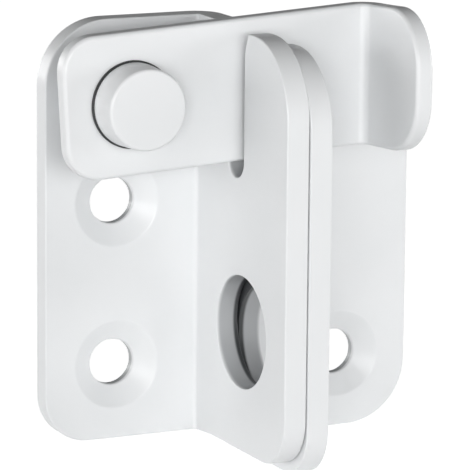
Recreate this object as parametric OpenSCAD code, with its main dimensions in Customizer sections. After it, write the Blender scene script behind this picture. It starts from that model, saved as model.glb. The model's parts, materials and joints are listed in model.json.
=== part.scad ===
// Padlockable flip latch: two pressed angle brackets stand back to back, and a flat arm,
// hung on a rivet in front of the frame bracket, drops into a slot in both upright flanges.
// Right is +X, the front is -Y and up is +Z. The origin is the middle of the frame
// bracket's two screw holes, on the back face that lies against the door frame.

/* [Sheet] */
// Thickness of the bracket sheet
sheet_t = 2.8; // [2:0.1:3.5]
// Inside radius of the bend between plate and flange
bend_r = 0.5; // [0.4:0.1:2]
// Radius of the plates' outer corners
plate_r = 7.8; // [3:0.1:9]
// Radius of the frame plate's lower outer corner
frame_foot_r = 5.5; // [3:0.5:9]

/* [Brackets] */
// Height of both brackets
bracket_h = 50.5; // [46:0.1:60]
// Width of the frame bracket over its plate and flange
frame_w = 22.3; // [21:0.1:30]
// Width of the keeper bracket over its plate and flange
keeper_w = 25.3; // [20:0.1:34]
// Depth from the back face to the front edge of a flange
flange_d = 27; // [24:0.5:36]
// Gap between the two flanges
flange_gap = 0.15; // [0.1:0.05:1]
// How far the keeper stands below the frame bracket
keeper_drop = 1.4; // [0.8:0.1:2]

/* [Screw holes] */
// Diameter of the screw holes
screw_d = 5.5; // [3.5:0.1:6]
// Diameter of the countersinks at the plate's face
sink_d = 10.6; // [8:0.1:11]
// Depth of the countersinks
sink_depth = 1.5; // [1:0.1:1.8]
// Distance from a plate's outer edge to its screw holes
screw_inset = 9.1; // [8:0.1:10]
// Height of the lower screw hole above the bracket's foot
screw_foot = 9; // [8:0.1:12]
// Spacing of the frame bracket's two screw holes
frame_screw_gap = 19.6; // [16:0.1:20.2]

/* [Flange cut-outs] */
// Diameter of the padlock hole
padlock_d = 13.4; // [8:0.1:14]
// Depth of the padlock hole's centre from the back face
padlock_in = 15.2; // [14:0.1:16]
// Height of the padlock hole's centre above the foot
padlock_foot = 14.6; // [12:0.1:18]
// Width of the open slot for the arm
slot_w = 4.25; // [3.6:0.05:5]
// Depth of the slot's round floor below the bracket's top
slot_depth = 17.8; // [17:0.1:18.4]
// Radius with which the hook's inner edge leans back at the slot's mouth
mouth_r = 2.9; // [2.2:0.1:4]
// Height of that lean below the hook's top
mouth_h = 2.1; // [0.5:0.1:2.2]
// Radius of the hook's upper front corner
hook_r = 9; // [4:0.5:9.5]
// Radius of the flange's lower front corner
flange_foot_r = 6; // [3:0.5:9]
// How far the hook's top lies below the bracket's top
hook_drop = 0.6; // [0:0.1:2]
// How far the flange's foot lies above the plate's foot
foot_rise = 0.3; // [0.1:0.1:1]
// Distance over which the flange's foot rises, from the bend on
rise_run = 3.5; // [1:0.5:6]

/* [Arm] */
// Thickness of the arm
arm_t = 2.2; // [1.8:0.1:2.6]
// Width of the arm
arm_w = 16.7; // [15:0.1:17]
// Length from the pivot to the arm's short end
arm_tail = 8.3; // [7:0.1:10]
// Length from the pivot to the inner face of the finger tab
arm_reach = 29.9; // [28:0.1:40]
// Reach of the finger tab in front of the arm
tab_d = 12.7; // [11:0.1:20]
// Radius of the finger tab's two front corners
tab_r = 6.6; // [2:0.1:7.2]
// Radius of the short end's corners
tail_r = 4.1; // [1:0.1:7]
// Inside radius of the bend between arm and tab
tab_bend_r = 1; // [0.5:0.1:2]
// Angle by which the tab's bend leans off square to the arm, so that the tab rises forward
tab_skew = 3.4; // [0:0.2:6]
// Angle of the arm above level, as it rests
arm_raise = 3.4; // [0:0.1:20]

/* [Pivot] */
// Distance from the frame plate's outer edge to the pivot
pivot_inset = 5.9; // [5.9:0.1:7]
// Depth of the pivot below the bracket's top
pivot_top = 8.2; // [7.4:0.1:8.4]
// Depth of the arm's middle plane from the back face
arm_plane = 13.4; // [12:0.1:15]
// Diameter of the rivet's shank
shank_d = 6; // [4:0.1:7]
// Radial clearance around the shank
shank_fit = 0.05; // [0.02:0.01:0.1]
// Diameter of the rivet head at the arm
head_d = 9.8; // [9:0.1:10]
// Diameter of the rivet head's flat face
head_face_d = 9.4; // [7:0.1:10]
// Height of the rivet head
head_h = 4.2; // [2:0.1:6]
// Diameter of the peened tail at the back face
tail_d = 9; // [7.5:0.1:9.4]
// Depth of the peened tail
tail_depth = 1.3; // [1:0.1:1.6]
// Outer diameter of the two washers
washer_d = 10.2; // [10:0.1:12]
// Thickness of the two washers
washer_t = 0.4; // [0.3:0.1:0.8]
// Running gap on each side of the arm
arm_gap = 0.05; // [0.03:0.01:0.1]
// Outer diameter of the spacer bush
bush_d = 8.4; // [7.4:0.1:11]

/* [Hidden] */
$fn = 96;
corner_steps = $fn / 4;
over = 1;

bend_out = bend_r + sheet_t;
foot_z = -screw_foot - frame_screw_gap / 2;
flange_x = frame_w - screw_inset;
pivot_x = pivot_inset - screw_inset;
pivot_z = foot_z + bracket_h - pivot_top;
keeper_screw_gap = bracket_h - 2 * screw_foot;

arm_back = arm_plane - arm_t / 2;
arm_front = arm_plane + arm_t / 2;
bush_front = arm_back - arm_gap - washer_t;
head_back = arm_front + arm_gap + washer_t;
bore_d = shank_d + 2 * shank_fit;
arm_end = arm_reach + arm_t;
tab_bend_out = tab_bend_r + arm_t;
bend_start = arm_end - tab_bend_out;
// Middle and height of the tab's bend, in whole thousandths, so that its neighbours meet it
bend_z = round(1000 * bend_start * tan(tab_skew)) / 1000;
bend_h = 2 * round(500 * arm_w / cos(tab_skew)) / 1000;

powder_white = "#e6e8ea";
nylon_black = "#1c1e20";
zinc_grey = "#b4b8bc";

// Everything flat is drawn as width and height, then stood up facing the front, its back
// at the given depth from the origin's plane.
module upright(depth, thickness) {
    translate([0, -depth, 0])
        rotate([90, 0, 0])
            linear_extrude(thickness)
                children();
}

// A profile drawn as depth and height becomes a sheet whose right face is at x = 0.
module sideways(thickness) {
    rotate([90, 0, -90])
        linear_extrude(thickness)
            children();
}

// What rounding takes off an upper right corner that is at the origin.
module corner_trim(r) {
    translate([-r, -r])
        difference() {
            square(r + over);
            circle(r);
        }
}

// Plate of a bracket, its flange at x = 0 and its outer edge at x = -width.
module plate_outline(width, top_r, foot_r) {
    difference() {
        translate([-width, 0])
            square([width - bend_out, bracket_h]);
        translate([-width, bracket_h])
            mirror([1, 0])
                corner_trim(top_r);
        translate([-width, 0])
            rotate(180)
                corner_trim(foot_r);
    }
}

// Slot that is open at the top, with a round floor.
module slot_outline() {
    translate([arm_plane, bracket_h - slot_depth + slot_w / 2]) {
        circle(d = slot_w);
        translate([-slot_w / 2, 0])
            square([slot_w, bracket_h]);
    }
}

// Flange drawn as depth and height, with the slot, the hook before it and the padlock hole.
module flange_outline() {
    hook_in = arm_plane + slot_w / 2;
    hook_top = bracket_h - hook_drop;
    difference() {
        polygon([
            [bend_out, 0],
            [bend_out + rise_run, foot_rise],
            [flange_d, foot_rise],
            [flange_d, bracket_h],
            [bend_out, bracket_h]
        ]);
        translate([hook_in, hook_top])
            square([flange_d, bracket_h]);
        translate([hook_in, hook_top - mouth_h + mouth_r])
            mirror([1, 0])
                corner_trim(mouth_r);
        translate([flange_d, hook_top])
            corner_trim(hook_r);
        translate([flange_d, foot_rise])
            mirror([0, 1])
                corner_trim(flange_foot_r);
        slot_outline();
        translate([padlock_in, padlock_foot])
            circle(d = padlock_d);
    }
}

// Quarter-round bend that joins plate and flange.
module bracket_bend() {
    translate([-bend_out, -bend_out, 0])
        linear_extrude(bracket_h)
            intersection() {
                difference() {
                    circle(bend_out);
                    circle(bend_r);
                }
                square(bend_out);
            }
}

// Countersunk screw hole, cut from the front face of a plate.
module screw_cut(x, z) {
    translate([x, over, z])
        rotate([90, 0, 0])
            cylinder(h = sheet_t + 2 * over, d = screw_d);
    translate([x, -sheet_t + sink_depth, z])
        rotate([90, 0, 0]) {
            cylinder(h = sink_depth, d1 = screw_d, d2 = sink_d);
            translate([0, 0, sink_depth])
                cylinder(h = over, d = sink_d);
        }
}

// Angle bracket with its foot at z = 0 and its flange's outer face at x = 0.
module angle_bracket(width, top_r, foot_r, screw_gap) {
    difference() {
        union() {
            upright(0, sheet_t)
                plate_outline(width, top_r, foot_r);
            bracket_bend();
            sideways(sheet_t)
                flange_outline();
        }
        for (z = [screw_foot, screw_foot + screw_gap])
            screw_cut(screw_inset - width, z);
    }
}

module frame_bracket() {
    color(powder_white)
        difference() {
            translate([flange_x, 0, foot_z])
                angle_bracket(frame_w, plate_r, frame_foot_r, frame_screw_gap);
            translate([pivot_x, over, pivot_z])
                rotate([90, 0, 0])
                    cylinder(h = sheet_t + 2 * over, d = bore_d);
            translate([pivot_x, 0, pivot_z])
                tail_cone(shank_fit);
        }
}

module keeper_bracket() {
    color(powder_white)
        translate([flange_x + flange_gap, 0, foot_z - keeper_drop])
            mirror([1, 0, 0])
                angle_bracket(keeper_w, plate_r, plate_r, keeper_screw_gap);
}

// Rounded corner about a centre, turned from the first angle to the last.
function arc(centre, r, first, last) = [
    for (step = [0 : corner_steps])
        let (a = first + (last - first) * step / corner_steps)
            centre + r * [cos(a), sin(a)]
];

// Point given along and across the arm, which is inclined to its upright bend.
function inclined(along, across) = [
    along * cos(tab_skew) - across * sin(tab_skew),
    along * sin(tab_skew) + across * cos(tab_skew)
];

// Arm drawn as length and height about its pivot, up to the bend.
module arm_outline() {
    along = tail_r - arm_tail;
    across = arm_w / 2 - tail_r;
    difference() {
        polygon(concat(
            [[bend_start, bend_z - bend_h / 2], [bend_start, bend_z + bend_h / 2]],
            arc(inclined(along, across), tail_r, 90 + tab_skew, 180 + tab_skew),
            arc(inclined(along, -across), tail_r, 180 + tab_skew, 270 + tab_skew)
        ));
        circle(d = bore_d);
    }
}

// Finger tab drawn as depth and height: it rises forward, and its front edge is upright.
module tab_outline() {
    from = arm_back + tab_bend_out;
    along = arm_front + tab_d - from - tab_r;
    rise = along * tan(tab_skew);
    across = bend_h / 2 - tab_r / cos(tab_skew);
    translate([from, bend_z])
        polygon(concat(
            [[0, -bend_h / 2]],
            arc([along, rise - across], tab_r, tab_skew - 90, 0),
            arc([along, rise + across], tab_r, 0, 90 + tab_skew),
            [[0, bend_h / 2]]
        ));
}

module arm_bend() {
    translate([bend_start, -arm_back - tab_bend_out, bend_z - bend_h / 2])
        linear_extrude(bend_h)
            intersection() {
                difference() {
                    circle(tab_bend_out);
                    circle(tab_bend_r);
                }
                square(tab_bend_out);
            }
}

module latch_arm() {
    color(powder_white)
        translate([pivot_x, 0, pivot_z])
            rotate([0, tab_skew - arm_raise, 0]) {
                upright(arm_back, arm_t)
                    arm_outline();
                arm_bend();
                translate([arm_end, 0, 0])
                    sideways(arm_t)
                        tab_outline();
            }
}

// Cone of the peened tail, widest at the back face, grown all round by fit.
module tail_cone(fit) {
    rotate([90, 0, 0])
        cylinder(h = tail_depth, d1 = tail_d + 2 * fit, d2 = shank_d + 2 * fit);
}

module pivot_rivet() {
    color(powder_white)
        translate([pivot_x, 0, pivot_z]) {
            tail_cone(0);
            rotate([90, 0, 0]) {
                cylinder(h = head_back + over, d = shank_d);
                translate([0, 0, head_back])
                    cylinder(h = head_h, d1 = head_d, d2 = head_face_d);
            }
        }
}

// Ring round the shank, from one depth to another.
module shank_ring(outer_d, from, to) {
    translate([pivot_x, -from, pivot_z])
        rotate([90, 0, 0])
            difference() {
                cylinder(h = to - from, d = outer_d);
                translate([0, 0, -over])
                    cylinder(h = to - from + 2 * over, d = bore_d);
            }
}

module spacer_bush() {
    color(zinc_grey)
        shank_ring(bush_d, sheet_t, bush_front);
}

module washer_rear() {
    color(nylon_black)
        shank_ring(washer_d, bush_front, bush_front + washer_t);
}

module washer_front() {
    color(nylon_black)
        shank_ring(washer_d, head_back - washer_t, head_back);
}

frame_bracket();
keeper_bracket();
latch_arm();
pivot_rivet();
spacer_bush();
washer_rear();
washer_front();
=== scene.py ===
"""White padlockable flip latch, dressed for its picture.

Two pressed angle brackets stand back to back and a riveted arm drops into their slots. Each
piece is modelled in millimetres about its own fold or axis, set in its place, and turned to
metres when its mesh is written. Right is +X, the front is -Y and up is +Z.
"""
import json
import logging
import math
from collections.abc import Iterable, Sequence
from dataclasses import dataclass, field
from enum import Enum

import bmesh
import bpy
from bmesh.types import BMEdge, BMesh, BMFace, BMVert
from mathutils import Matrix, Vector


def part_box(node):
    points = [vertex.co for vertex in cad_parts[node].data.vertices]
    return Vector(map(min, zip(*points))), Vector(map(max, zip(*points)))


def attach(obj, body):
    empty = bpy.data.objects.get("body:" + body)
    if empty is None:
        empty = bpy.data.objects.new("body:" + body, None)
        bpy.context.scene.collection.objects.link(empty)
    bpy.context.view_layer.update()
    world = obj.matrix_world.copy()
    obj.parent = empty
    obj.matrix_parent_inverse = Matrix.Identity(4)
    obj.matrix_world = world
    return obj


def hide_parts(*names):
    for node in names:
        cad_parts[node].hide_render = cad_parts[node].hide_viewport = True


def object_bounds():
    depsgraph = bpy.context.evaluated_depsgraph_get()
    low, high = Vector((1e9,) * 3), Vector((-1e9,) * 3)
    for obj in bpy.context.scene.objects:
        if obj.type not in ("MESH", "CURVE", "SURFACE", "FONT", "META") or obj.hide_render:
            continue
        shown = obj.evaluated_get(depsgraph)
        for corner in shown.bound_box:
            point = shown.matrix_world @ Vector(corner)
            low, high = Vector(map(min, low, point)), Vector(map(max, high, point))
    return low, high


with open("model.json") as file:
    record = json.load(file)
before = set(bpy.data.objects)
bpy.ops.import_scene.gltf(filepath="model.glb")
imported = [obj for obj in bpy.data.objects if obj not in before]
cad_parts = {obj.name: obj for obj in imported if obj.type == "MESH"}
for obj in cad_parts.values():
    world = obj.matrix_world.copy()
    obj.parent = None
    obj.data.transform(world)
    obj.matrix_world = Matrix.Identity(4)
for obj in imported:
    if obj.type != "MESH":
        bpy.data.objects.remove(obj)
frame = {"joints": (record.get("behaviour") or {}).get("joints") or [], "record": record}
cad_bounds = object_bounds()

Tree = bpy.types.NodeTree
Socket = bpy.types.NodeSocket

LOG = logging.getLogger("flip_latch")
MM = 0.001
WHITE = "#ffffff"
QUARTER_TURN = math.pi / 2
FULL_TURN = 2 * math.pi

# A mesh's own layers: which faces are rounded strips, and how much painted shade darkens the walls
# of its holes and slot.
ROUNDED = "rounded"
PAINTED_SHADE = "film_loss"

# Distances in millimetres: points that are one, and flat faces that are at one depth.
WELD = 1e-4
NEAR = 0.01

# Steps of a full turn, and of a rounded corner: so many, and more for each millimetre.
TURN_STEPS = 96
CORNER_STEPS = 3
CORNER_STEPS_PER_MM = 2.2

# Edges that turn by more than this are sharp, in degrees.
SHARP_DEG = 40

# How far a face's normal points in a direction: a face square across it has more than the
# first, and one that runs along it less than the second.
SQUARE_ACROSS = 0.999
MOSTLY_ALONG = 0.5

# A noise texture's output seldom leaves this range.
NOISE_LOW, NOISE_HIGH = 0.3, 0.7

# Bands that a wave texture of scale one makes in one unit, within a fiftieth.
WAVES_PER_UNIT = math.pi


# Sizes read from the frame

@dataclass(frozen=True)
class NodeBox:
    """Lowest and highest corner of a CAD node, in millimetres."""

    low: Vector
    high: Vector

    @classmethod
    def of(cls, node: str) -> "NodeBox":
        """The box of the named node."""
        low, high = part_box(node)
        return cls(low / MM, high / MM)

    @property
    def size(self) -> Vector:
        """Width, depth and height."""
        return self.high - self.low


@dataclass(frozen=True)
class ScrewPair:
    """Two screw holes, one above the other, as the record states them."""

    middle: Vector
    spacing: float
    bore_r: float

    @classmethod
    def of(cls, mount: str) -> "ScrewPair":
        """The pair that the record's mount of that name describes.

        Args:
            mount: Name of a bolt pattern in the record.

        Returns:
            The pair, in millimetres.
        """
        found = next(m for m in frame["record"]["mounts"] if m["name"] == mount)
        dims = found["dims"]
        return cls(Vector(found["pos_m"]) / MM, dims["spacing_y_mm"], dims["hole_r_mm"])

    def heights(self) -> tuple[float, float]:
        """Heights of the lower and the upper hole."""
        return self.middle.z - self.spacing / 2, self.middle.z + self.spacing / 2


def hinge_point(joint: str) -> Vector:
    """Where the named hinge turns, in millimetres."""
    found = next(j for j in frame["joints"] if j["name"] == joint)
    return Vector(found["pos_m"]) / MM


# Mesh work

@dataclass(frozen=True)
class Corner:
    """Corner of an outline or a turned profile, rounded to a radius."""

    u: float
    v: float
    radius: float = 0.0


class Panel(Enum):
    """The two panels of a folded sheet: the leaf faces the front, the wing faces the side."""

    LEAF = "leaf"
    WING = "wing"

    def point(self, u: float, v: float) -> Vector:
        """The point at that reach and height on the panel's outer face."""
        return Vector((u, 0, v)) if self is Panel.LEAF else Vector((0, u, v))

    @property
    def inward(self) -> Vector:
        """Direction from the panel's outer face through the sheet."""
        return Vector((0, -1, 0)) if self is Panel.LEAF else Vector((-1, 0, 0))


@dataclass(frozen=True)
class Hole:
    """Round hole in a panel, turned from a profile of radius and depth below the inner face.

    Its wall takes no painted shade down to the given depth. From there to the back a painted shade
    darkens it, where shade falls deeper in the hole.
    """

    panel: Panel
    u: float
    v: float
    profile: Sequence[Corner]
    shade_free_depth: float = 0.0


def fresh_mesh() -> BMesh:
    """Starts a mesh with layers for its rounded strips and for painted shade in its holes.

    Returns:
        The empty mesh.
    """
    bm = bmesh.new()
    bm.faces.layers.int.new(ROUNDED)
    bm.loops.layers.float.new(PAINTED_SHADE)
    return bm


def mark_rounded(bm: BMesh, faces: Iterable[BMFace]) -> None:
    """Marks faces as rounded strips, which take their shading from the flats beside them.

    Args:
        bm: The mesh.
        faces: The strips.
    """
    layer = bm.faces.layers.int[ROUNDED]
    for face in faces:
        face[layer] = 1


def paint_shade(bm: BMesh, faces: Iterable[BMFace], clear_side: Vector, shaded_side: Vector) -> None:
    """Marks a wall for painted shade, which darkens it from one side of the sheet to the other.

    Args:
        bm: The mesh.
        faces: The wall's faces.
        clear_side: Point on the side where the wall takes no painted shade.
        shaded_side: Point straight through the sheet from it, where the painted shade is darkest.
    """
    # Painted shade: the share grows from the clear side to the shaded side, and the coat darkens
    # with it.
    layer = bm.loops.layers.float[PAINTED_SHADE]
    through = shaded_side - clear_side
    for face in faces:
        for loop in face.loops:
            share = (loop.vert.co - clear_side).dot(through) / through.length_squared
            loop[layer] = min(1.0, max(0.0, share))


def round_vert(bm: BMesh, vert: BMVert, radius: float) -> None:
    """Rounds one corner of an outline or a profile.

    Args:
        bm: The mesh.
        vert: The corner.
        radius: Length taken from each of the two edges that meet there.
    """
    bmesh.ops.bevel(
        bm,
        geom=[vert],
        offset=radius,
        segments=CORNER_STEPS + round(CORNER_STEPS_PER_MM * radius),
        profile=0.5,
        affect="VERTICES",
        material=-1,
    )


def sheet_outline(bm: BMesh, panel: Panel, corners: Sequence[Corner]) -> BMFace:
    """Draws a panel's outline on its outer face.

    Args:
        bm: The mesh to draw in.
        panel: The panel that the outline belongs to.
        corners: The outline's corners, in order.

    Returns:
        The flat face inside the outline.
    """
    before = set(bm.faces)
    verts = [bm.verts.new(panel.point(c.u, c.v)) for c in corners]
    bm.faces.new(verts)
    for vert, corner in zip(verts, corners):
        if corner.radius:
            round_vert(bm, vert, corner.radius)
    return next(face for face in bm.faces if face not in before)


def thicken(bm: BMesh, face: BMFace, push: Vector) -> None:
    """Turns a flat face into a slab.

    Args:
        bm: The mesh.
        face: The face to extrude.
        push: How far, and which way.
    """
    grown = bmesh.ops.extrude_face_region(bm, geom=[face])
    moved = [g for g in grown["geom"] if isinstance(g, BMVert)]
    bmesh.ops.translate(bm, vec=push, verts=moved)


def face_at(bm: BMesh, normal: Vector, centre_along: float) -> BMFace:
    """Finds the largest flat face that lies across a direction at a given distance.

    Args:
        bm: The mesh.
        normal: Direction that the face lies across, either way round.
        centre_along: Distance of the face's middle along that direction.

    Returns:
        The face.
    """
    bm.normal_update()
    fits = [
        face for face in bm.faces
        if abs(face.normal.dot(normal)) > SQUARE_ACROSS
        and abs(face.calc_center_median().dot(normal) - centre_along) < NEAR
    ]
    return max(fits, key=BMFace.calc_area)


@dataclass(frozen=True)
class Turning:
    """What a lathe made: its faces, and the edges of its first and last ring."""

    faces: list[BMFace]
    first: list[BMEdge]
    last: list[BMEdge]


def lathe(
    bm: BMesh, profile: Sequence[Corner], centre: Vector, axis: Vector, closed: bool = False
) -> Turning:
    """Turns a profile into a surface of revolution.

    Args:
        bm: The mesh to add it to.
        profile: Corners whose u is the radius and v the distance along the axis.
        centre: Point on the axis from which v counts.
        axis: Direction of the axis.
        closed: Whether the profile's last corner joins its first.

    Returns:
        The surface and its end rings.
    """
    out = axis.orthogonal().normalized()
    before = set(bm.verts)
    line = [bm.verts.new(centre + out * c.u + axis * c.v) for c in profile]
    ends = (line[0].co.copy(), line[-1].co.copy())
    for a, b in zip(line, line[1:]):
        bm.edges.new((a, b))
    if closed:
        bm.edges.new((line[-1], line[0]))
    for vert, corner in zip(line, profile):
        if corner.radius:
            round_vert(bm, vert, corner.radius)
    drawn = [v for v in bm.verts if v not in before]
    drawn_edges = {e for v in drawn for e in v.link_edges}
    faces = set(bm.faces)
    bmesh.ops.spin(
        bm,
        geom=[*drawn, *drawn_edges],
        cent=centre,
        axis=axis,
        angle=FULL_TURN,
        steps=TURN_STEPS,
        use_merge=True,
    )
    turned = [face for face in bm.faces if face not in faces]
    mark_rounded(bm, turned)
    turned_edges = {e for face in turned for e in face.edges}
    rings = []
    for end in ends:
        radius = (end - centre).cross(axis).length
        along = (end - centre).dot(axis)
        rings.append([
            edge for edge in turned_edges
            if all(
                abs((v.co - centre).dot(axis) - along) < WELD
                and abs((v.co - centre).cross(axis).length - radius) < WELD
                for v in edge.verts
            )
        ])
    return Turning(turned, rings[0], rings[1])


def reface(bm: BMesh, cap: BMFace, rings: Sequence[BMEdge]) -> None:
    """Replaces a flat face by one with the given rings left open in it.

    Args:
        bm: The mesh.
        cap: The face to replace.
        rings: Edges of the round holes' rims, which lie in the face.
    """
    border = list(cap.edges)
    normal = cap.normal.copy()
    bmesh.ops.delete(bm, geom=[cap], context="FACES_ONLY")
    bmesh.ops.triangle_fill(bm, use_beauty=True, edges=[*border, *rings], normal=normal)


def round_rims(bm: BMesh, radius: float, segments: int) -> None:
    """Rounds every sharp edge, as stamping, tumbling and the coat leave it.

    Args:
        bm: The mesh.
        radius: Radius of the rounding.
        segments: Strips across it.
    """
    bm.normal_update()
    sharp = [
        edge for edge in bm.edges
        if edge.is_manifold and edge.calc_face_angle() > math.radians(SHARP_DEG)
    ]
    made = bmesh.ops.bevel(
        bm,
        geom=sharp,
        offset=radius,
        segments=segments,
        profile=0.5,
        affect="EDGES",
        material=-1,
    )
    mark_rounded(bm, made["faces"])


def shading_normals(bm: BMesh) -> list[Vector]:
    """Works out smooth shading that keeps flat faces flat beside their rounded rims.

    Args:
        bm: The finished mesh.

    Returns:
        One normal for each vertex, in order.
    """
    layer = bm.faces.layers.int[ROUNDED]
    normals = []
    for vert in bm.verts:
        flats = [face for face in vert.link_faces if not face[layer]]
        total = Vector()
        for face in flats or vert.link_faces:
            total += face.normal * face.calc_area()
        normals.append(total.normalized())
    return normals


def finish_mesh(bm: BMesh, name: str) -> bpy.types.Object:
    """Closes the mesh, turns it to metres and makes its object.

    Args:
        bm: The mesh in millimetres, in its place. It is freed.
        name: Name of the object.

    Returns:
        The object, at the origin.
    """
    bmesh.ops.remove_doubles(bm, verts=bm.verts, dist=WELD)
    bmesh.ops.recalc_face_normals(bm, faces=bm.faces)
    bmesh.ops.scale(bm, vec=(MM, MM, MM), verts=bm.verts)
    bm.normal_update()
    open_edges = sum(not edge.is_manifold for edge in bm.edges)
    for face in bm.faces:
        face.smooth = True
    normals = shading_normals(bm)
    mesh = bpy.data.meshes.new(name)
    bm.to_mesh(mesh)
    bm.free()
    mesh.normals_split_custom_set_from_vertices(normals)
    obj = bpy.data.objects.new(name, mesh)
    bpy.context.scene.collection.objects.link(obj)
    LOG.info("%s: %d faces, %d open edges", name, len(mesh.polygons), open_edges)
    return obj


# Finishes

def linear(code: str) -> tuple[float, float, float, float]:
    """Turns an sRGB hex colour into Blender's linear one, by that standard's own curve.

    Args:
        code: Six hex digits after a hash.

    Returns:
        Red, green, blue and an alpha of one.
    """
    parts = [int(code[i:i + 2], 16) / 255 for i in (1, 3, 5)]
    red, green, blue = (
        p / 12.92 if p <= 0.04045 else ((p + 0.055) / 1.055) ** 2.4 for p in parts
    )
    return red, green, blue, 1.0


def add_node(
    tree: Tree,
    kind: str,
    values: dict[str | int, object] | None = None,
    links: dict[str | int, Socket] | None = None,
    **settings: object,
) -> bpy.types.Node:
    """Adds one node with its settings and links.

    Args:
        tree: The node tree.
        kind: The node's type.
        values: Constant for each of these inputs.
        links: Output socket for each of these inputs.
        **settings: The node's own properties.

    Returns:
        The node.
    """
    node = tree.nodes.new(kind)
    for key, value in settings.items():
        setattr(node, key, value)
    for key, value in (values or {}).items():
        node.inputs[key].default_value = value
    for key, output in (links or {}).items():
        tree.links.new(output, node.inputs[key])
    return node


def per_metre(size_mm: float) -> float:
    """Scale of a texture whose pattern repeats at about that size."""
    return 1 / (size_mm * MM)


@dataclass(frozen=True)
class Finish:
    """A material's name and how it is made. Every pattern lies on Object coordinates."""

    name: str

    def surface(self, tree: Tree, place: Socket) -> Socket:
        """Adds the nodes of the finish, up to its shader's output."""
        raise NotImplementedError

    def build(self) -> bpy.types.Material:
        """Makes the material.

        Returns:
            The material.
        """
        material = bpy.data.materials.new(self.name)
        material.use_nodes = True
        tree = material.node_tree
        tree.nodes.clear()
        place = add_node(tree, "ShaderNodeTexCoord").outputs["Object"]
        shown = self.surface(tree, place)
        add_node(tree, "ShaderNodeOutputMaterial", links={"Surface": shown})
        return material


@dataclass(frozen=True)
class PieceFinish(Finish):
    """Finish of a piece: its slot in the record, and a shader over the layers it draws.

    Where the pattern is high the finish is rougher. A metal keeps the shader's own IOR.
    """

    slot: str
    roughness: tuple[float, float]
    metallic: float = 0.0
    ior: float | None = None

    def layers(self, tree: Tree, place: Socket) -> tuple[Socket, Socket, Socket]:
        """Adds the finish's own nodes, and gives its colour, its relief and its pattern."""
        raise NotImplementedError

    def surface(self, tree: Tree, place: Socket) -> Socket:
        """Adds the layers and the shader over them.

        Args:
            tree: The node tree.
            place: Object coordinates.

        Returns:
            The shader's output.
        """
        colour, relief, pattern = self.layers(tree, place)
        low, high = self.roughness
        gloss = add_node(
            tree, "ShaderNodeMapRange",
            values={
                "From Min": NOISE_LOW, "From Max": NOISE_HIGH, "To Min": low, "To Max": high,
            },
            links={"Value": pattern},
        )
        values = {"Metallic": self.metallic}
        if self.ior is not None:
            values["IOR"] = self.ior
        return add_node(
            tree, "ShaderNodeBsdfPrincipled", values=values,
            links={"Base Color": colour, "Roughness": gloss.outputs["Result"], "Normal": relief},
        ).outputs["BSDF"]


@dataclass(frozen=True)
class PowderCoat(PieceFinish):
    """Polyester powder, sprayed dry and baked: a satin skin with a fine orange peel.

    Painted shade greys the walls of the holes and the slot, and goes near black where the two
    flanges meet. Each comes in between two shares of the mask.
    """

    name: str = "white_powder_coat_satin"
    slot: str = "white_powder_coat"
    roughness: tuple[float, float] = (0.28, 0.38)
    ior: float = 1.5
    shade: str = "#edeeef"
    thin_shade: str = "#e8eaeb"
    # Painted shade, not the coat's own colour: a grey for recess walls, and a near black between
    # the flanges.
    painted_wall_shade: str = "#b4b6b8"
    painted_deep_shade: str = "#3c3e40"
    wall_shade_from: tuple[float, float] = (0.0, 0.2)
    deep_shade_from: tuple[float, float] = (0.72, 0.86)
    film_patch_mm: float = 7.0
    peel_mm: float = 0.9
    peel_height_mm: float = 0.006
    grain_mm: float = 0.16
    grain_height_mm: float = 0.0012

    def layers(self, tree: Tree, place: Socket) -> tuple[Socket, Socket, Socket]:
        """Draws the coat's layers.

        Args:
            tree: The node tree.
            place: Object coordinates.

        Returns:
            Outputs with its colour, its relief and its pattern.
        """
        # The film's thickness drifts over a few millimetres, which shifts its shade a little.
        film = add_node(
            tree, "ShaderNodeTexNoise",
            values={"Scale": per_metre(self.film_patch_mm), "Detail": 2.0},
            links={"Vector": place},
        )
        coat = add_node(
            tree, "ShaderNodeMix",
            values={"A": linear(self.thin_shade), "B": linear(self.shade)},
            links={"Factor": film.outputs["Fac"]},
            data_type="RGBA",
        )
        # Painted shade: deeper in, the walls of the holes and the slot turn grey, and near
        # black where the next sheet lies against them, as shade falls in these recesses.
        painted_shade_mask = add_node(tree, "ShaderNodeAttribute", attribute_name=PAINTED_SHADE)
        for (start, end), grey in (
            (self.wall_shade_from, self.painted_wall_shade),
            (self.deep_shade_from, self.painted_deep_shade),
        ):
            shade_amount = add_node(
                tree, "ShaderNodeMapRange",
                values={"From Min": start, "From Max": end},
                links={"Value": painted_shade_mask.outputs["Fac"]},
                interpolation_type="SMOOTHSTEP",
            )
            coat = add_node(
                tree, "ShaderNodeMix",
                values={"B": linear(grey)},
                links={"A": coat.outputs["Result"], "Factor": shade_amount.outputs["Result"]},
                data_type="RGBA",
            )
        # Orange peel: round swells about a millimetre apart, left as the powder flows out,
        # with the much finer grain of the pigment on them. To the eye the gloss is soft, and
        # its edge is a little uneven.
        peel = add_node(
            tree, "ShaderNodeTexNoise",
            values={"Scale": per_metre(self.peel_mm), "Detail": 1.0, "Roughness": 0.4},
            links={"Vector": place},
        )
        grain = add_node(
            tree, "ShaderNodeTexNoise",
            values={"Scale": per_metre(self.grain_mm), "Detail": 1.0},
            links={"Vector": place},
        )
        swells = add_node(
            tree, "ShaderNodeBump",
            values={"Distance": self.peel_height_mm * MM},
            links={"Height": peel.outputs["Fac"]},
        )
        skin = add_node(
            tree, "ShaderNodeBump",
            values={"Distance": self.grain_height_mm * MM},
            links={"Height": grain.outputs["Fac"], "Normal": swells.outputs["Normal"]},
        )
        return coat.outputs["Result"], skin.outputs["Normal"], grain.outputs["Fac"]


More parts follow.
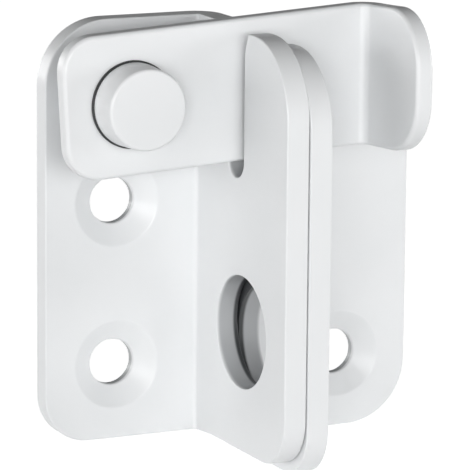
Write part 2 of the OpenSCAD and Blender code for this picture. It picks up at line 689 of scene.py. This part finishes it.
@dataclass(frozen=True)
class MouldedNylon(PieceFinish):
    """Black nylon, injection moulded: matt, with the faint grain of the tool's face."""

    name: str = "moulded_black_nylon"
    slot: str = "black_nylon"
    roughness: tuple[float, float] = (0.5, 0.62)
    ior: float = 1.53
    shade: str = "#1c1e20"
    pale_shade: str = "#26282a"
    grain_mm: float = 0.12
    grain_height_mm: float = 0.002

    def layers(self, tree: Tree, place: Socket) -> tuple[Socket, Socket, Socket]:
        """Draws the nylon's layers.

        Args:
            tree: The node tree.
            place: Object coordinates.

        Returns:
            Outputs with its colour, its relief and its pattern.
        """
        # The spark-eroded tool prints a fine grain, which spreads the gloss: to the eye the
        # ring is a soft black that greys where the light grazes it.
        grain = add_node(
            tree, "ShaderNodeTexNoise",
            values={"Scale": per_metre(self.grain_mm), "Detail": 2.0},
            links={"Vector": place},
        )
        shade = add_node(
            tree, "ShaderNodeMix",
            values={"A": linear(self.shade), "B": linear(self.pale_shade)},
            links={"Factor": grain.outputs["Fac"]},
            data_type="RGBA",
        )
        relief = add_node(
            tree, "ShaderNodeBump",
            values={"Distance": self.grain_height_mm * MM},
            links={"Height": grain.outputs["Fac"]},
        )
        return shade.outputs["Result"], relief.outputs["Normal"], grain.outputs["Fac"]


@dataclass(frozen=True)
class ZincPlate(PieceFinish):
    """Bright zinc over turned steel: rings of the tool's feed under a soft, patchy shine."""

    name: str = "bright_zinc_plate_turned"
    slot: str = "zinc_plate"
    roughness: tuple[float, float] = (0.26, 0.4)
    metallic: float = 1.0
    axis_at: tuple[float, float] = field(kw_only=True)
    shade: str = "#c3c7ca"
    dull_shade: str = "#a9adb1"
    patch_mm: float = 1.4
    feed_mm: float = 0.5
    feed_height_mm: float = 0.004
    feed_waver: float = 0.4

    def layers(self, tree: Tree, place: Socket) -> tuple[Socket, Socket, Socket]:
        """Draws the plating's layers.

        Args:
            tree: The node tree.
            place: Object coordinates.

        Returns:
            Outputs with its colour, its relief and its pattern.
        """
        # The bush is turned along its length, so the feed marks are rings one behind the
        # other. The real feed is finer; this is the finest that still shows.
        centred = add_node(
            tree, "ShaderNodeMapping",
            values={"Location": (-self.axis_at[0] * MM, 0, -self.axis_at[1] * MM)},
            links={"Vector": place},
            vector_type="POINT",
        )
        rings = add_node(
            tree, "ShaderNodeTexWave",
            values={
                "Scale": per_metre(self.feed_mm) / WAVES_PER_UNIT,
                "Distortion": self.feed_waver,
            },
            links={"Vector": centred.outputs["Vector"]},
            wave_type="BANDS",
            bands_direction="Y",
        )
        # Zinc goes on unevenly: the thicker patches are cloudier, greyer and less bright.
        patches = add_node(
            tree, "ShaderNodeTexNoise",
            values={"Scale": per_metre(self.patch_mm), "Detail": 3.0},
            links={"Vector": place},
        )
        shade = add_node(
            tree, "ShaderNodeMix",
            values={"A": linear(self.shade), "B": linear(self.dull_shade)},
            links={"Factor": patches.outputs["Fac"]},
            data_type="RGBA",
        )
        relief = add_node(
            tree, "ShaderNodeBump",
            values={"Distance": self.feed_height_mm * MM},
            links={"Height": rings.outputs["Fac"]},
        )
        return shade.outputs["Result"], relief.outputs["Normal"], patches.outputs["Fac"]


# Pieces

@dataclass
class Piece:
    """A piece of the latch: what it is called, what it rides on and how it is finished."""

    name: str
    body: str
    node: str
    finish: PieceFinish
    material: bpy.types.Material = field(repr=False)

    def shape(self) -> BMesh:
        """Models the piece in its place, in millimetres."""
        raise NotImplementedError

    def build(self) -> bpy.types.Object:
        """Models the piece, dresses it and hangs it on its body.

        Returns:
            The finished object.
        """
        obj = finish_mesh(self.shape(), self.name)
        obj.data.materials.append(self.material)
        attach(obj, self.body)
        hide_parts(self.node)
        return obj


@dataclass
class FoldedSheet(Piece):
    """Sheet pressed to an outline and folded once, with the fold's outer corner at its origin.

    The leaf runs to the left of the fold and the wing runs forward from it.
    """

    sheet: float = 2.8
    bend_r: float = 0.5
    rim_r: float = 0.2
    rim_segments: int = 3
    bend_steps: int = 8

    @property
    def bend_out(self) -> float:
        """Radius of the fold's outer face."""
        return self.bend_r + self.sheet

    def leaf(self) -> list[Corner]:
        """Corners of the leaf, from the fold's foot round to its top."""
        raise NotImplementedError

    def wing(self) -> list[Corner]:
        """Corners of the wing, from the fold's foot round to its top."""
        raise NotImplementedError

    def holes(self) -> list[Hole]:
        """Round holes in either panel."""
        raise NotImplementedError

    def fold(self, bm: BMesh) -> None:
        """Joins the two slabs by turning the leaf's end through the bend.

        Args:
            bm: The mesh that holds both slabs.
        """
        near = face_at(bm, Vector((1, 0, 0)), -self.bend_out)
        far = face_at(bm, Vector((0, 1, 0)), -self.bend_out)
        before = set(bm.faces)
        bmesh.ops.spin(
            bm,
            geom=[*near.verts, *near.edges],
            cent=(-self.bend_out, -self.bend_out, 0),
            axis=(0, 0, 1),
            angle=-QUARTER_TURN,
            steps=self.bend_steps,
        )
        bent = [face for face in bm.faces if face not in before]
        mark_rounded(bm, [face for face in bent if abs(face.normal.z) < MOSTLY_ALONG])
        bmesh.ops.delete(bm, geom=[near, far], context="FACES_ONLY")
        bmesh.ops.remove_doubles(bm, verts=bm.verts, dist=WELD)

    def pierce(self, bm: BMesh) -> None:
        """Turns the holes and opens the flat faces round them.

        Args:
            bm: The folded sheet, its rims already rounded.
        """
        for panel in Panel:
            outer_rings, inner_rings = [], []
            for hole in self.holes():
                if hole.panel is panel:
                    back = panel.point(hole.u, hole.v)
                    centre = back + panel.inward * self.sheet
                    turned = lathe(bm, hole.profile, centre, panel.inward)
                    # Painted shade on the hole's wall: none down to its given depth, darkest at
                    # the back.
                    clear_side = centre - panel.inward * hole.shade_free_depth
                    paint_shade(bm, turned.faces, clear_side, back)
                    inner_rings += turned.first
                    outer_rings += turned.last
            if outer_rings:
                reface(bm, face_at(bm, -panel.inward, 0.0), outer_rings)
                reface(bm, face_at(bm, -panel.inward, -self.sheet), inner_rings)

    def shape(self) -> BMesh:
        """Presses, folds, rounds and pierces the sheet.

        Returns:
            The sheet in its place.
        """
        bm = fresh_mesh()
        for panel, corners in ((Panel.LEAF, self.leaf()), (Panel.WING, self.wing())):
            thicken(bm, sheet_outline(bm, panel, corners), panel.inward * self.sheet)
        bmesh.ops.recalc_face_normals(bm, faces=bm.faces)
        self.fold(bm)
        bmesh.ops.recalc_face_normals(bm, faces=bm.faces)
        round_rims(bm, self.rim_r, self.rim_segments)
        self.shade_walls(bm)
        self.pierce(bm)
        self.place(bm)
        return bm

    def shade_walls(self, bm: BMesh) -> None:
        """Marks walls other than the holes' for painted shade. A plain sheet has none."""

    def place(self, bm: BMesh) -> None:
        """Moves the finished sheet from its own origin to its place."""
        raise NotImplementedError


class Hand(Enum):
    """Which way a bracket's leaf runs from its flange."""

    LEFT = 1
    RIGHT = -1


@dataclass
class AngleBracket(FoldedSheet):
    """Pressed angle bracket: screw plate, and a flange with the arm's slot and padlock eye.

    A hole's lip is the flat ring round its rim, and its ease is how far the rim is rounded.
    """

    screws: ScrewPair = field(kw_only=True)
    pivot: Vector | None = None
    hand: Hand = Hand.LEFT
    plate_r: float = 7.8
    plate_foot_r: float = 7.8
    sink_r: float = 5.3
    sink_depth: float = 1.5
    sink_ease: float = 0.15
    screw_ease: float = 0.2
    # How deep the screw holes' walls stay free of painted shade, before it darkens them to the
    # back.
    screw_shade_free_depth: float = 1.8
    bore_lip: float = 0.4
    arm_plane: float = 13.4
    slot_w: float = 4.25
    slot_depth: float = 17.8
    mouth_lean: float = 0.9
    mouth_h: float = 2.1
    mouth_r: float = 1.0
    hook_drop: float = 0.6
    hook_r: float = 9.0
    foot_rise: float = 0.3
    rise_run: float = 3.5
    rise_r: float = 1.2
    flange_foot_r: float = 6.0
    eye_r: float = 6.7
    eye_in: float = 15.2
    eye_foot: float = 14.6
    eye_ease: float = 0.12
    # Width of the painted shade ring round the eye on the face where the flanges meet.
    eye_shade_ring: float = 1.6
    bore_r: float = 3.05
    bore_ease: float = 0.1
    tail_r: float = 4.55
    tail_depth: float = 1.3
    # Share of the slot's width. At half of it the floor's two roundings would meet.
    slot_round: float = 0.499

    width: float = field(init=False)
    height: float = field(init=False)
    depth: float = field(init=False)
    foot: float = field(init=False)
    flange_x: float = field(init=False)

    def __post_init__(self) -> None:
        """Takes the overall sizes from the CAD node."""
        box = NodeBox.of(self.node)
        self.width = box.size.x
        self.height = box.size.z
        self.depth = -box.low.y
        self.foot = box.low.z
        self.flange_x = box.high.x if self.hand is Hand.LEFT else box.low.x

    def leaf(self) -> list[Corner]:
        """Outlines the screw plate, its two outer corners rounded.

        Returns:
            Its corners, from the fold's foot round to its top.
        """
        return [
            Corner(-self.bend_out, 0),
            Corner(-self.bend_out, self.height),
            Corner(-self.width, self.height, self.plate_r),
            Corner(-self.width, 0, self.plate_foot_r),
        ]

    def wing(self) -> list[Corner]:
        """Outlines the flange: it rises a little at the foot, and the slot leaves a hook.

        Returns:
            Its corners, from the fold's foot round to its top.
        """
        slot_in = self.arm_plane - self.slot_w / 2
        slot_out = self.arm_plane + self.slot_w / 2
        slot_floor = self.height - self.slot_depth
        hook_top = self.height - self.hook_drop
        floor_r = self.slot_round * self.slot_w
        return [
            Corner(-self.bend_out, 0),
            Corner(-self.bend_out - self.rise_run, self.foot_rise, self.rise_r),
            Corner(-self.depth, self.foot_rise, self.flange_foot_r),
            Corner(-self.depth, hook_top, self.hook_r),
            Corner(-slot_out - self.mouth_lean, hook_top),
            Corner(-slot_out, hook_top - self.mouth_h, self.mouth_r),
            Corner(-slot_out, slot_floor, floor_r),
            Corner(-slot_in, slot_floor, floor_r),
            Corner(-slot_in, self.height),
            Corner(-self.bend_out, self.height),
        ]

    def screw_profile(self) -> list[Corner]:
        """Draws a countersink, its rims softened by the coat, and the bore under it.

        Returns:
            The profile, from the front.
        """
        bore = self.screws.bore_r
        return [
            Corner(self.sink_r + 2 * self.sink_ease, 0),
            Corner(self.sink_r, 0, self.sink_ease),
            Corner(bore, -self.sink_depth, self.screw_ease),
            Corner(bore, -self.sheet, self.screw_ease),
            Corner(bore + self.bore_lip, -self.sheet),
        ]

    def eye_profile(self) -> list[Corner]:
        """Draws the padlock eye, with a wide flat ring on the face where the two flanges lie
        together, which takes the darkest painted shade.

        Returns:
            The profile, from the inner face.
        """
        return [
            Corner(self.eye_r + 2 * self.eye_ease, 0),
            Corner(self.eye_r, 0, self.eye_ease),
            Corner(self.eye_r, -self.sheet, self.eye_ease),
            Corner(self.eye_r + self.eye_shade_ring, -self.sheet),
        ]

    def pivot_profile(self) -> list[Corner]:
        """Draws the rivet's bore, sunk from the back for its peened tail.

        Returns:
            The profile, from the front.
        """
        return [
            Corner(self.bore_r + self.bore_lip, 0),
            Corner(self.bore_r, 0, self.bore_ease),
            Corner(self.bore_r, self.tail_depth - self.sheet),
            Corner(self.tail_r, -self.sheet),
            Corner(self.tail_r + self.bore_lip, -self.sheet),
        ]

    def holes(self) -> list[Hole]:
        """Places the screw holes, the padlock eye and, on the frame bracket, the rivet's bore.

        Returns:
            The holes.
        """
        plate_x = self.hand.value * (self.screws.middle.x - self.flange_x)
        found = [
            Hole(Panel.LEAF, plate_x, z - self.foot, self.screw_profile(), self.screw_shade_free_depth)
            for z in self.screws.heights()
        ]
        found.append(Hole(Panel.WING, -self.eye_in, self.eye_foot, self.eye_profile()))
        if self.pivot is not None:
            across = self.pivot.x - self.flange_x
            found.append(
                Hole(Panel.LEAF, across, self.pivot.z - self.foot, self.pivot_profile())
            )
        return found

    def shade_walls(self, bm: BMesh) -> None:
        """Marks the slot's walls, up to the mouth, for painted shade that darkens them towards the
        face where the flanges meet.

        Args:
            bm: The folded sheet, its rims already rounded.
        """
        reach = self.slot_w / 2 + self.rim_r
        floor = self.height - self.slot_depth - self.rim_r
        mouth = self.height - self.hook_drop - self.mouth_h
        bm.normal_update()
        walls = [
            face for face in bm.faces
            if abs(face.normal.x) < MOSTLY_ALONG
            and abs(face.calc_center_median().y + self.arm_plane) < reach
            and floor < face.calc_center_median().z < mouth
        ]
        # Painted shade: the slot's walls darken from the inner face to the mating face.
        paint_shade(bm, walls, Panel.WING.inward * self.sheet, Vector())

    def place(self, bm: BMesh) -> None:
        """Stands the bracket at its flange, turned to its hand."""
        bmesh.ops.scale(bm, vec=(self.hand.value, 1, 1), verts=bm.verts)
        bmesh.ops.translate(bm, vec=(self.flange_x, 0, self.foot), verts=bm.verts)


@dataclass
class LatchArm(FoldedSheet):
    """Flat arm with a forward finger tab, hung on the pivot and a little raised.

    The fold stands upright as the arm rests, so the strip is inclined to it on both sides.
    Its tail and end count from the pivot, and its tab from where the bend runs out.
    """

    pivot: Vector = field(kw_only=True)
    sheet: float = 2.2
    bend_r: float = 1.0
    rim_r: float = 0.5
    rim_segments: int = 5
    skew_deg: float = 3.4
    width: float = 16.7
    tail: float = 8.3
    end: float = 32.1
    tab: float = 11.7
    back: float = 12.3
    tail_r: float = 4.1
    tab_r: float = 6.6
    bore_r: float = 3.05
    bore_ease: float = 0.15

    def inclined(self, along: float, across: float) -> tuple[float, float]:
        """Turns a point from the strip's own directions to level and upright.

        Args:
            along: Distance along the strip.
            across: Distance across it.

        Returns:
            Its reach and height.
        """
        skew = math.radians(self.skew_deg)
        return (
            along * math.cos(skew) - across * math.sin(skew),
            along * math.sin(skew) + across * math.cos(skew),
        )

    def fold_heights(self) -> tuple[float, float]:
        """Works out where the strip's two edges reach the fold.

        Returns:
            Heights of the fold's foot and top.
        """
        skew = math.radians(self.skew_deg)
        middle = (self.end - self.bend_out) * math.tan(skew)
        half = self.width / 2 / math.cos(skew)
        return middle - half, middle + half

    def leaf(self) -> list[Corner]:
        """Outlines the bar, from the fold to its rounded short end.

        Returns:
            Its corners, from the fold's foot round to its top.
        """
        foot, top = self.fold_heights()
        upper = self.inclined(-self.tail, self.width / 2)
        lower = self.inclined(-self.tail, -self.width / 2)
        return [
            Corner(-self.bend_out, foot),
            Corner(-self.bend_out, top),
            Corner(upper[0] - self.end, upper[1], self.tail_r),
            Corner(lower[0] - self.end, lower[1], self.tail_r),
        ]

    def wing(self) -> list[Corner]:
        """Outlines the finger tab: it rises forward, and its rounded front edge is upright.

        Returns:
            Its corners, from the fold's foot round to its top.
        """
        skew = math.radians(self.skew_deg)
        foot, top = self.fold_heights()
        front = -self.bend_out - self.tab
        rise = self.tab * math.tan(skew)
        blunt = self.tab_r / math.tan((QUARTER_TURN + skew) / 2)
        sharp = self.tab_r / math.tan((QUARTER_TURN - skew) / 2)
        return [
            Corner(-self.bend_out, foot),
            Corner(front, foot + rise, blunt),
            Corner(front, top + rise, sharp),
            Corner(-self.bend_out, top),
        ]

    def holes(self) -> list[Hole]:
        """Places the plain bore for the rivet's shank.

        Returns:
            The one hole.
        """
        lip_r = self.bore_r + 2 * self.bore_ease
        bore = [
            Corner(lip_r, 0),
            Corner(self.bore_r, 0, self.bore_ease),
            Corner(self.bore_r, -self.sheet, self.bore_ease),
            Corner(lip_r, -self.sheet),
        ]
        return [Hole(Panel.LEAF, -self.end, 0, bore)]

    def place(self, bm: BMesh) -> None:
        """Hangs the arm on its pivot, its fold upright."""
        corner = (self.pivot.x + self.end, -self.back, self.pivot.z)
        bmesh.ops.translate(bm, vec=corner, verts=bm.verts)


@dataclass
class TurnedPiece(Piece):
    """Piece turned about the pivot's axis, its profile's v counting forward from the back."""

    pivot: Vector = field(kw_only=True)
    ring: bool = True

    def profile(self) -> list[Corner]:
        """Half section of the piece."""
        raise NotImplementedError

    def shape(self) -> BMesh:
        """Turns the profile about the pivot.

        Returns:
            The piece in its place.
        """
        bm = fresh_mesh()
        centre = Vector((self.pivot.x, 0, self.pivot.z))
        lathe(bm, self.profile(), centre, Vector((0, -1, 0)), closed=self.ring)
        return bm


@dataclass
class PivotRivet(TurnedPiece):
    """Rivet with a tall, slightly tapered head, its tail peened flush into the plate.

    The hammer leaves a shallow dish in the tail, inside a narrow flat rim.
    """

    ring: bool = False
    tail_r: float = 4.5
    tail_depth: float = 1.3
    tail_ease: float = 0.12
    rim_w: float = 0.6
    rim_round: float = 0.4
    dish_depth: float = 0.25
    slope_r: float = 2.0
    slope_depth: float = 0.12
    slope_round: float = 0.8
    shank_r: float = 3.0
    head_back: float = 14.95
    head_h: float = 4.2
    head_r: float = 4.9
    head_ease: float = 0.06
    face_r: float = 4.7
    face_ease: float = 0.35

    def profile(self) -> list[Corner]:
        """Draws the half section.

        Returns:
            The profile, from the middle of the tail to the middle of the head's face.
        """
        face = self.head_back + self.head_h
        return [
            Corner(0, self.dish_depth),
            Corner(self.slope_r, self.slope_depth, self.slope_round),
            Corner(self.tail_r - self.rim_w, 0, self.rim_round),
            Corner(self.tail_r, 0, self.tail_ease),
            Corner(self.shank_r, self.tail_depth),
            Corner(self.shank_r, self.head_back),
            Corner(self.head_r, self.head_back, self.head_ease),
            Corner(self.face_r, face, self.face_ease),
            Corner(0, face),
        ]


@dataclass
class RingPiece(TurnedPiece):
    """Plain ring round the rivet's shank, as deep as its CAD node."""

    bore_r: float = 3.05
    rim_r: float = 0.1

    def profile(self) -> list[Corner]:
        """Draws the half section, its two outer rims eased.

        Returns:
            The profile, from the bore's back.
        """
        box = NodeBox.of(self.node)
        outer = box.size.x / 2
        back, front = -box.high.y, -box.low.y
        return [
            Corner(self.bore_r, back),
            Corner(outer, back, self.rim_r),
            Corner(outer, front, self.rim_r),
            Corner(self.bore_r, front),
        ]


# Studio

def direction(azimuth_deg: float, elevation_deg: float) -> Vector:
    """Direction from the latch towards a place round it.

    Args:
        azimuth_deg: Angle to the right of the front.
        elevation_deg: Angle above level.

    Returns:
        A unit vector.
    """
    az, el = math.radians(azimuth_deg), math.radians(elevation_deg)
    return Vector((math.sin(az) * math.cos(el), -math.cos(az) * math.cos(el), math.sin(el)))


@dataclass(frozen=True)
class Softbox:
    """Low, wide lamp with a diffuser, aimed at the latch."""

    name: str
    azimuth_deg: float
    watts: float
    elevation_deg: float = 7.0
    distance: float = 1.0
    width: float = 0.8
    height: float = 0.3

    def build(self, target: Vector) -> None:
        """Sets the lamp up.

        Args:
            target: Point that it is aimed at.
        """
        lamp = bpy.data.lights.new(self.name, "AREA")
        lamp.shape = "RECTANGLE"
        lamp.size = self.width
        lamp.size_y = self.height
        lamp.energy = self.watts
        obj = bpy.data.objects.new(self.name, lamp)
        toward = direction(self.azimuth_deg, self.elevation_deg)
        obj.location = target + toward * self.distance
        obj.rotation_euler = toward.to_track_quat("Z", "Y").to_euler()
        obj.visible_camera = False
        bpy.context.scene.collection.objects.link(obj)


def seen_directly(tree: Tree) -> Socket:
    """One for rays that see the background, straight or through gloss or glass.

    Args:
        tree: The node tree.

    Returns:
        The output that carries it.
    """
    path = add_node(tree, "ShaderNodeLightPath")
    either = add_node(
        tree, "ShaderNodeMath", operation="MAXIMUM",
        links={0: path.outputs["Is Camera Ray"], 1: path.outputs["Is Glossy Ray"]},
    )
    return add_node(
        tree, "ShaderNodeMath", operation="MAXIMUM",
        links={0: either.outputs[0], 1: path.outputs["Is Transmission Ray"]},
    ).outputs[0]


@dataclass(frozen=True)
class StudioPaper(Finish):
    """Matt white background paper: the finest tooth, and white where no shadow falls."""

    name: str = "matt_background_paper"
    shade: str = "#f2f2f2"
    tooth_mm: float = 0.6
    tooth_height_mm: float = 0.01
    tooth_strength: float = 0.3
    lift: float = 0.8

    def surface(self, tree: Tree, place: Socket) -> Socket:
        """Adds the paper's nodes.

        Args:
            tree: The node tree.
            place: Object coordinates.

        Returns:
            The shader's output.
        """
        # The tooth takes away all gloss, so the eye sees one even white up to the shadow.
        tooth = add_node(
            tree, "ShaderNodeTexNoise",
            values={"Scale": per_metre(self.tooth_mm), "Detail": 2.0},
            links={"Vector": place},
        )
        relief = add_node(
            tree, "ShaderNodeBump",
            values={"Strength": self.tooth_strength, "Distance": self.tooth_height_mm * MM},
            links={"Height": tooth.outputs["Fac"]},
        )
        paper = add_node(
            tree, "ShaderNodeBsdfDiffuse",
            values={"Color": linear(self.shade)},
            links={"Normal": relief.outputs["Normal"]},
        )
        amount = add_node(
            tree, "ShaderNodeMath", operation="MULTIPLY",
            values={1: self.lift}, links={0: seen_directly(tree)},
        )
        lifted = add_node(
            tree, "ShaderNodeEmission",
            values={"Color": linear(WHITE)}, links={"Strength": amount.outputs[0]},
        )
        return add_node(
            tree, "ShaderNodeAddShader",
            links={0: paper.outputs["BSDF"], 1: lifted.outputs["Emission"]},
        ).outputs["Shader"]


@dataclass
class Studio:
    """Pale floor, soft lamps and an even, white surround."""

    floor_side: float = 1.4
    floor_squares: int = 8
    surround: float = 0.47
    ceiling: float = 0.05
    walls_top: float = 0.52
    mirrored_top: float = 0.16
    lamps: tuple[Softbox, ...] = (
        Softbox("front_softbox", azimuth_deg=-17, watts=6.2),
        Softbox("left_softbox", azimuth_deg=-86, watts=3.6),
        Softbox("right_softbox", azimuth_deg=60, watts=3.1),
        Softbox("rear_left_softbox", azimuth_deg=-152, watts=2.4),
        Softbox("rear_right_softbox", azimuth_deg=114, watts=3.2),
    )

    def build(self) -> None:
        """Lays the floor, hangs the lamps and sets the surround."""
        target = Vector(((cad_bounds[0][0] + cad_bounds[1][0]) / 2, 0, 0))
        for lamp in self.lamps:
            lamp.build(target)
        self.lay_floor()
        self.set_surround()

    def lay_floor(self) -> None:
        """Lays the floor under the latch's lowest edge."""
        bm = bmesh.new()
        squares = self.floor_squares
        bmesh.ops.create_grid(bm, x_segments=squares, y_segments=squares, size=self.floor_side / 2)
        bmesh.ops.translate(bm, vec=(0, 0, cad_bounds[0][2]), verts=bm.verts)
        mesh = bpy.data.meshes.new("floor")
        bm.to_mesh(mesh)
        bm.free()
        mesh.materials.append(StudioPaper().build())
        floor = bpy.data.objects.new("floor", mesh)
        bpy.context.scene.collection.objects.link(floor)

    def set_surround(self) -> None:
        """Lights the latch from all round, dimmer from above, and shows plain white.

        Gloss mirrors the foot of the white walls too, and the dim room over it.
        """
        world = bpy.data.worlds.new("studio_surround")
        bpy.context.scene.world = world
        world.use_nodes = True
        tree = world.node_tree
        tree.nodes.clear()
        place = add_node(tree, "ShaderNodeTexCoord").outputs["Generated"]
        parts = add_node(tree, "ShaderNodeSeparateXYZ", links={0: place})
        lit, mirrored = (
            add_node(
                tree, "ShaderNodeMapRange",
                values={"From Max": top, "To Min": 1.0, "To Max": self.ceiling},
                links={"Value": parts.outputs["Z"]},
            )
            for top in (self.walls_top, self.mirrored_top)
        )
        level = add_node(
            tree, "ShaderNodeMath", operation="MULTIPLY",
            values={1: self.surround}, links={0: lit.outputs["Result"]},
        )
        path = add_node(tree, "ShaderNodeLightPath")
        white = add_node(
            tree, "ShaderNodeMath", operation="MAXIMUM",
            links={0: path.outputs["Is Camera Ray"], 1: mirrored.outputs["Result"]},
        )
        glow, plain = (
            add_node(
                tree, "ShaderNodeBackground",
                values={"Color": linear(WHITE)}, links={"Strength": strength.outputs[0]},
            )
            for strength in (level, white)
        )
        shown = add_node(
            tree, "ShaderNodeMixShader",
            links={
                "Fac": seen_directly(tree),
                1: glow.outputs["Background"],
                2: plain.outputs["Background"],
            },
        )
        add_node(tree, "ShaderNodeOutputWorld", links={"Surface": shown.outputs["Shader"]})


@dataclass(frozen=True)
class LongLensCamera:
    """Camera to the left of the latch and a little above, far off with a long lens."""

    azimuth_deg: float = -25.4
    elevation_deg: float = 11.4
    roll_deg: float = -0.52
    distance_mm: float = 441.0
    focal_px: float = 3690.0
    picture_px: float = 470.0
    sensor_mm: float = 36.0
    aim_mm: tuple[float, float, float] = (14.88, -3.99, 4.94)
    clip_m: tuple[float, float] = (0.01, 20.0)

    def build(self) -> None:
        """Sets the camera up as the scene's own."""
        camera = bpy.data.cameras.new("picture_camera")
        camera.sensor_fit = "HORIZONTAL"
        camera.sensor_width = self.sensor_mm
        camera.lens = self.focal_px / self.picture_px * self.sensor_mm
        camera.clip_start, camera.clip_end = self.clip_m
        back = direction(self.azimuth_deg, self.elevation_deg)
        right = Vector((0, 0, 1)).cross(back).normalized()
        level = Matrix((right, back.cross(right), back)).transposed()
        turned = level @ Matrix.Rotation(math.radians(-self.roll_deg), 3, "Z")
        obj = bpy.data.objects.new("picture_camera", camera)
        eye = (Vector(self.aim_mm) + back * self.distance_mm) * MM
        obj.matrix_world = Matrix.Translation(eye) @ turned.to_4x4()
        bpy.context.scene.collection.objects.link(obj)
        bpy.context.scene.camera = obj


def main() -> None:
    """Builds the latch piece by piece, then the studio and the camera."""
    logging.basicConfig(level=logging.INFO, format="%(name)s: %(message)s")
    pivot = hinge_point("arm_swing")
    coat, nylon = PowderCoat(), MouldedNylon()
    zinc = ZincPlate(axis_at=(pivot.x, pivot.z))
    white, black, plated = coat.build(), nylon.build(), zinc.build()
    pieces = [
        AngleBracket(
            "frame_bracket_pressed", "frame", "frame_bracket", coat, white,
            hand=Hand.LEFT, screws=ScrewPair.of("frame_screws"), pivot=pivot,
            plate_foot_r=5.5,
        ),
        AngleBracket(
            "keeper_bracket_pressed", "keeper", "keeper_bracket", coat, white,
            hand=Hand.RIGHT, screws=ScrewPair.of("keeper_screws"),
        ),
        LatchArm("latch_arm_pressed", "arm", "latch_arm", coat, white, pivot=pivot),
        PivotRivet("pivot_rivet_turned", "frame", "pivot_rivet", coat, white, pivot=pivot),
        RingPiece("spacer_bush_turned", "frame", "spacer_bush", zinc, plated, pivot=pivot),
        RingPiece("washer_rear_moulded", "frame", "washer_rear", nylon, black, pivot=pivot),
        RingPiece("washer_front_moulded", "frame", "washer_front", nylon, black, pivot=pivot),
    ]
    for piece in pieces:
        piece.build()
    Studio().build()
    LongLensCamera().build()
    bpy.context.scene.view_settings.view_transform = "Standard"


if __name__ == "__main__":
    main()
